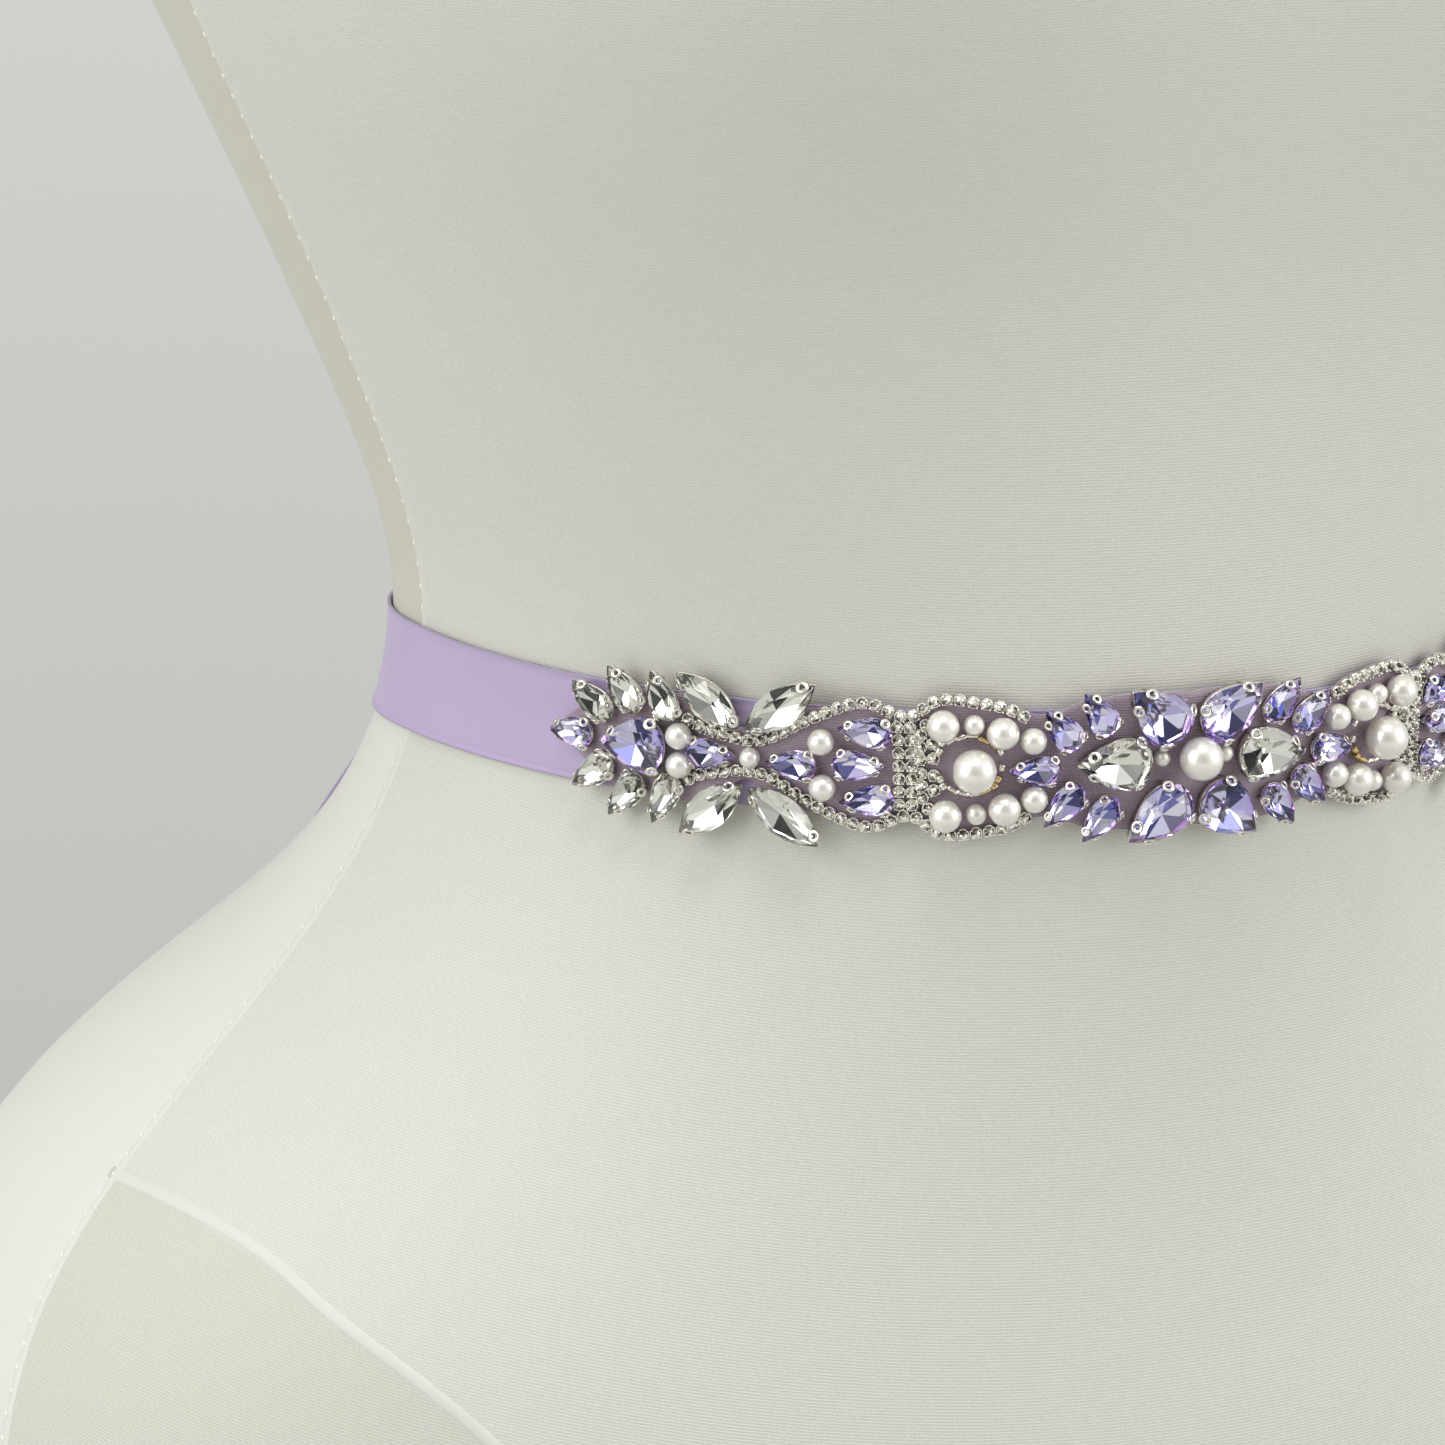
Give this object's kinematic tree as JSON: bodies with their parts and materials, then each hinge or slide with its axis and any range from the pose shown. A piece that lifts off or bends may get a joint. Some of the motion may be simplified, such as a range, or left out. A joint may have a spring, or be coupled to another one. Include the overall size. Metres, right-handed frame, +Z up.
{
  "type": "bridal sash on a limbless dress form",
  "caption": "Lavender satin ribbon sash with a jewelled pearl and stone applique, tied in a bow round a limbless dress form.",
  "frame": {"origin": "middle of the dress form's flat underside, at the centre of the part's box seen from above", "axes": "+Z up the form, the form's front and the applique face -Y, +X to the viewer's right"},
  "size_m": [0.366, 0.2725, 0.74],
  "materials": {
    "form_cloth": "fine ribbed ivory knit with a soft sheen",
    "ribbon": "lavender satin",
    "backing": "mauve sheer cloth over felt",
    "lavender_stone": "cut, foil-backed",
    "clear_stone": "cut, foil-backed",
    "pearl": "pearl lustre",
    "claw": "bright silver"
  },
  "bodies": {
    "root": {"dress_form": "form_cloth", "ribbon_left": "ribbon", "ribbon_right": "ribbon", "bow_knot": "ribbon", "bow_loop_left": "ribbon", "bow_loop_right": "ribbon", "bow_tail_left": "ribbon", "bow_tail_right": "ribbon", "applique_left": "backing", "applique_centre": "backing", "applique_right": "backing", "centre_pear_left_lower": "lavender_stone", "centre_pear_left_upper": "lavender_stone", "centre_pear_right_lower": "lavender_stone", "centre_pear_right_upper": "lavender_stone", "end_pear_left": "lavender_stone", "end_pear_right": "lavender_stone", "clear_pear_left": "clear_stone", "clear_pear_right": "clear_stone", "inner_navette_left_lower": "clear_stone", "inner_navette_left_upper": "clear_stone", "inner_navette_right_lower": "clear_stone", "inner_navette_right_upper": "clear_stone", "outer_navette_left_lower": "clear_stone", "outer_navette_left_upper": "clear_stone", "outer_navette_right_lower": "clear_stone", "outer_navette_right_upper": "clear_stone", "centre_pearl": "pearl", "ring_pearl_left": "pearl", "ring_pearl_right": "pearl"}
  },
  "joints": []
}
